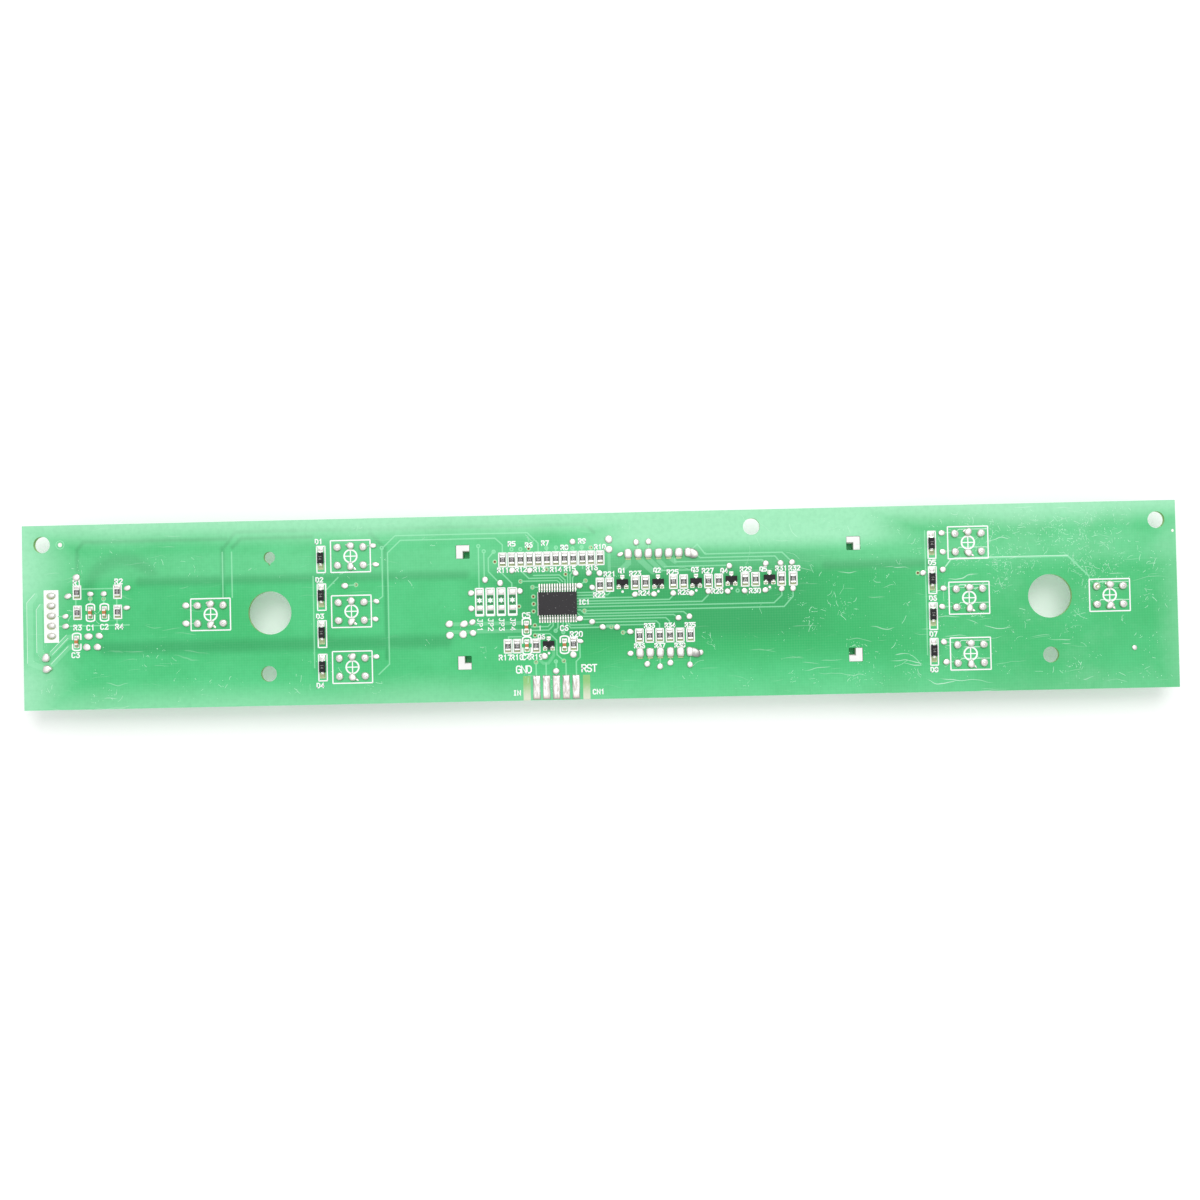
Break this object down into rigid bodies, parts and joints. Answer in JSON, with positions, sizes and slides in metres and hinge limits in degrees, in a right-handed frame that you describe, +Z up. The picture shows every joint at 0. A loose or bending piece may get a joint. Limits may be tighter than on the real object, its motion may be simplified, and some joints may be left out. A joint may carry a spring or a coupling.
{
  "type": "sub circuit board",
  "caption": "Long green front-panel circuit board with a segment display, lit push switches, a wire header and chip components, lying solder side up.",
  "frame": {"origin": "middle of the board's outline, on the surface that the display's face rests on", "axes": "+X along the board, away from the wire header; +Y across it, towards the edge with the screw holes; +Z up, out of the solder side"},
  "size_m": [0.29, 0.0468, 0.0126],
  "materials": {
    "board": "glass-epoxy laminate under a translucent green solder mask, satin",
    "board_pale": "bare pale laminate",
    "tin": "tin plate, satin",
    "solder": "bright wave solder with flux haze",
    "moulding": "black epoxy moulding compound, fine matt grain",
    "ceramic": "alumina with a black glassy overcoat",
    "capacitor_ceramic": "tan ceramic",
    "white_plastic": "white reflector moulding",
    "smoked_film": "smoked light-diffusing film",
    "led_chip": "phosphor-filled chip",
    "natural_nylon": "natural nylon",
    "sleeve": "dark shrink sleeve over aluminium, bare end",
    "rubber": "sealing rubber",
    "winding": "foil and paper winding",
    "black_plastic": "black heat-resistant moulding",
    "steel": "stamped stainless sheet",
    "led_lens": "clear epoxy lens",
    "milky_cap": "milky light-guiding plastic"
  },
  "bodies": {
    "root": {"capacitor_solder": "solder", "chip_capacitor_bodies": "capacitor_ceramic", "chip_capacitor_ends": "tin", "circuit_board": "board", "connector_housing": "natural_nylon", "connector_pins": "tin", "connector_solder": "solder", "diode_bodies": "moulding", "diode_leads": "tin", "display_face": "smoked_film", "display_housing": "white_plastic", "display_leds": "led_chip", "display_pins": "tin", "display_solder": "solder", "display_substrate": "board_pale", "edge_contacts": "tin", "electrolytic_can": "sleeve", "electrolytic_leads": "tin", "electrolytic_seal": "rubber", "electrolytic_winding": "winding", "microcontroller_body": "moulding", "microcontroller_leads": "tin", "resistor_bodies": "ceramic", "resistor_ends": "tin", "switch_bases": "black_plastic", "switch_covers": "steel", "switch_domes": "steel", "switch_led_leads": "tin", "switch_leds": "led_lens", "switch_solder": "solder", "switch_terminals": "tin", "test_point_solder": "solder", "transistor_bodies": "moulding", "transistor_leads": "tin"},
    "button_cap_left_bottom": {"button_cap_left_bottom": "milky_cap"},
    "button_cap_left_middle": {"button_cap_left_middle": "milky_cap"},
    "button_cap_left_outer": {"button_cap_left_outer": "milky_cap"},
    "button_cap_left_top": {"button_cap_left_top": "milky_cap"},
    "button_cap_right_bottom": {"button_cap_right_bottom": "milky_cap"},
    "button_cap_right_middle": {"button_cap_right_middle": "milky_cap"},
    "button_cap_right_outer": {"button_cap_right_outer": "milky_cap"},
    "button_cap_right_top": {"button_cap_right_top": "milky_cap"}
  },
  "joints": [
    {"name": "press_left_bottom", "type": "slide", "parent": "root", "child": "button_cap_left_bottom", "axis": [0, 0, 1], "range_m": [0, 0.0003], "stiffness_N_per_m": 800},
    {"name": "press_left_middle", "type": "slide", "parent": "root", "child": "button_cap_left_middle", "axis": [0, 0, 1], "range_m": [0, 0.0003], "stiffness_N_per_m": 800},
    {"name": "press_left_outer", "type": "slide", "parent": "root", "child": "button_cap_left_outer", "axis": [0, 0, 1], "range_m": [0, 0.0003], "stiffness_N_per_m": 800},
    {"name": "press_left_top", "type": "slide", "parent": "root", "child": "button_cap_left_top", "axis": [0, 0, 1], "range_m": [0, 0.0003], "stiffness_N_per_m": 800},
    {"name": "press_right_bottom", "type": "slide", "parent": "root", "child": "button_cap_right_bottom", "axis": [0, 0, 1], "range_m": [0, 0.0003], "stiffness_N_per_m": 800},
    {"name": "press_right_middle", "type": "slide", "parent": "root", "child": "button_cap_right_middle", "axis": [0, 0, 1], "range_m": [0, 0.0003], "stiffness_N_per_m": 800},
    {"name": "press_right_outer", "type": "slide", "parent": "root", "child": "button_cap_right_outer", "axis": [0, 0, 1], "range_m": [0, 0.0003], "stiffness_N_per_m": 800},
    {"name": "press_right_top", "type": "slide", "parent": "root", "child": "button_cap_right_top", "axis": [0, 0, 1], "range_m": [0, 0.0003], "stiffness_N_per_m": 800}
  ]
}
